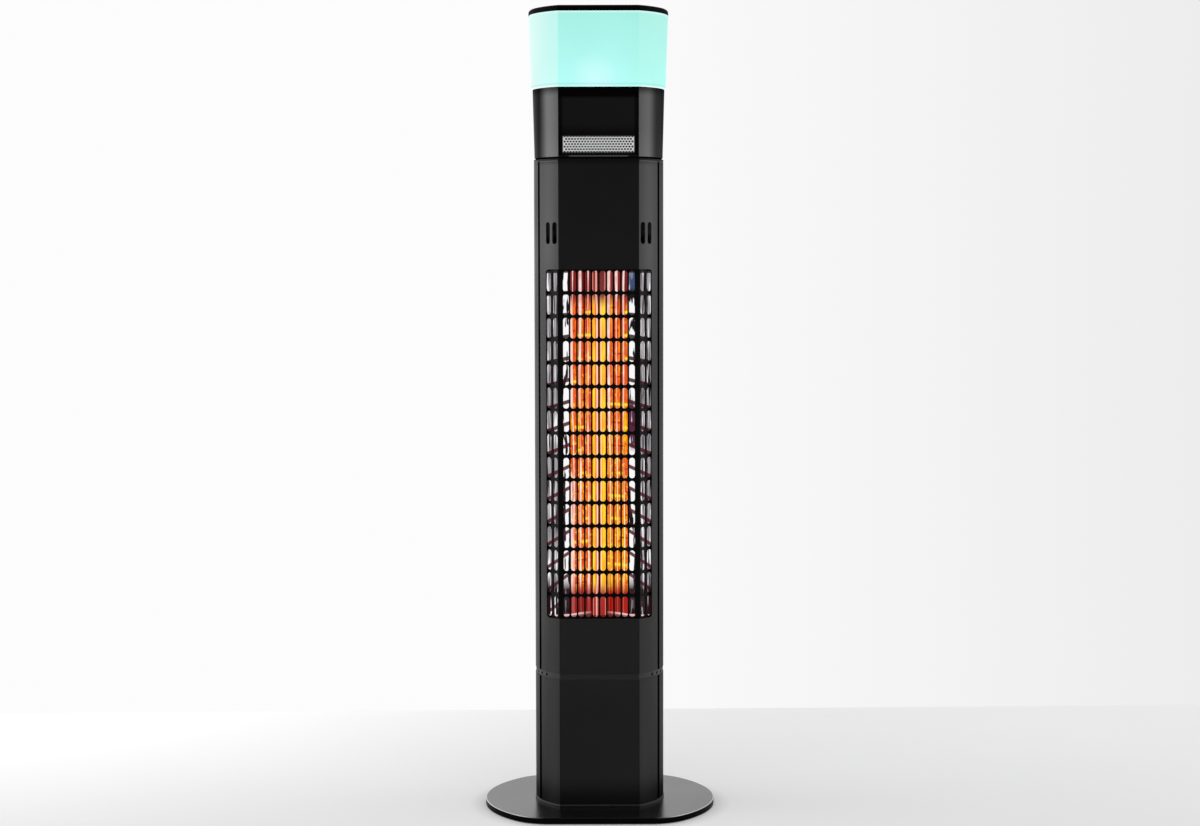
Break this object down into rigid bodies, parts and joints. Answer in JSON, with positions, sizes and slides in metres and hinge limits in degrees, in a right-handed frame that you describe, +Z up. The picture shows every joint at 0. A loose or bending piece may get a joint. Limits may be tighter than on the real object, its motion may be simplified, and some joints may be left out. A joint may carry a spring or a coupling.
{
  "type": "infrared patio heater tower",
  "caption": "Slim black patio heater tower on a round base, with a tall grille over a glowing infrared tube, a perforated speaker strip and a mint-lit lamp head.",
  "frame": {"origin": "middle of the footprint, on the floor", "axes": "+Z up along the tower, -Y out of the guard window, +X to the right seen from the front"},
  "size_m": [0.322, 0.2648, 1.1107],
  "materials": {
    "base_paint": "satin powder coat",
    "rubber": "matte",
    "zinc": "bright zinc",
    "galvanised": "satin",
    "black_trim": "satin",
    "white_plastic": "matte",
    "housing_paint": "satin powder coat",
    "groove_black": "matte",
    "ring_plastic": "satin",
    "dark_screw": "black oxide",
    "guard_black": "matte heat-proof paint",
    "reflector_mirror": "polished aluminium",
    "ceramic": "unglazed",
    "quartz": "clear",
    "glowing_carbon": "glowing",
    "dark_red_glow": "dull red glow",
    "brass": "turned",
    "board_green": "solder mask",
    "rocker_black": "gloss",
    "panel_gloss": "piano gloss",
    "grille_steel": "perforated, satin",
    "cone_paper": "pressed pulp",
    "led_lens": "clear",
    "diffuser": "opal, lit mint",
    "lid_plastic": "satin gloss"
  },
  "bodies": {
    "tower": {"base_plate": "base_paint", "base_feet": "rubber", "base_screws": "zinc", "base_nuts": "zinc", "foot_flange": "galvanised", "plinth_ring": "black_trim", "tip_switch": "black_trim", "tip_spring": "zinc", "pedestal_front": "housing_paint", "pedestal_rear": "housing_paint", "pedestal_rails": "groove_black", "vent_ring": "ring_plastic", "front_cover": "housing_paint", "rear_cover": "housing_paint", "main_rails": "groove_black", "spine": "galvanised", "collar": "black_trim", "cover_screws": "dark_screw", "guard_grille": "guard_black", "reflector": "reflector_mirror", "reflector_plates": "reflector_mirror", "heat_shield": "galvanised", "thermal_cutout": "ceramic", "quartz_tube": "quartz", "tube_caps": "ceramic", "tube_brackets": "galvanised", "heating_spiral": "glowing_carbon", "spiral_clamps": "dark_red_glow", "electronics_bracket": "galvanised", "board_posts": "brass", "power_board": "board_green", "board_parts": "black_trim", "terminal_block": "ceramic", "cable_gland": "black_trim", "gland_nut": "black_trim", "switch_frame": "black_trim", "head_shell": "housing_paint", "front_panel": "panel_gloss", "speaker_grille": "grille_steel", "speaker_baffle": "black_trim", "speaker_baskets": "dark_screw", "speaker_magnets": "galvanised", "speaker_surrounds": "rubber", "control_board": "board_green", "control_posts": "black_trim", "lamp_base": "black_trim", "led_board": "white_plastic", "leds": "led_lens", "lamp_post": "white_plastic", "lamp_diffuser": "diffuser", "top_lid": "lid_plastic"},
    "plunger": {"tip_plunger": "white_plastic"},
    "rocker": {"switch_rocker": "rocker_black"},
    "cone_left": {"left_cone": "cone_paper"},
    "cone_right": {"right_cone": "cone_paper"}
  },
  "joints": [
    {"name": "tip_plunger_travel", "type": "slide", "parent": "tower", "child": "plunger", "axis": [0, 0, -1], "range_m": [0, 0.0055], "stiffness_N_per_m": 40, "springref_m": 0.02, "deforming": ["tip_spring"]},
    {"name": "mains_switch", "type": "hinge", "parent": "tower", "child": "rocker", "pos_m": [0.034, 0.0682, 0.055], "axis": [-1, 0, 0], "range_deg": [0, 16]},
    {"name": "left_cone_travel", "type": "slide", "parent": "tower", "child": "cone_left", "axis": [0, -0.9995, -0.0312], "range_m": [-0.001, 0.001], "stiffness_N_per_m": 900},
    {"name": "right_cone_travel", "type": "slide", "parent": "tower", "child": "cone_right", "axis": [0, -0.9995, -0.0312], "range_m": [-0.001, 0.001], "stiffness_N_per_m": 900}
  ]
}
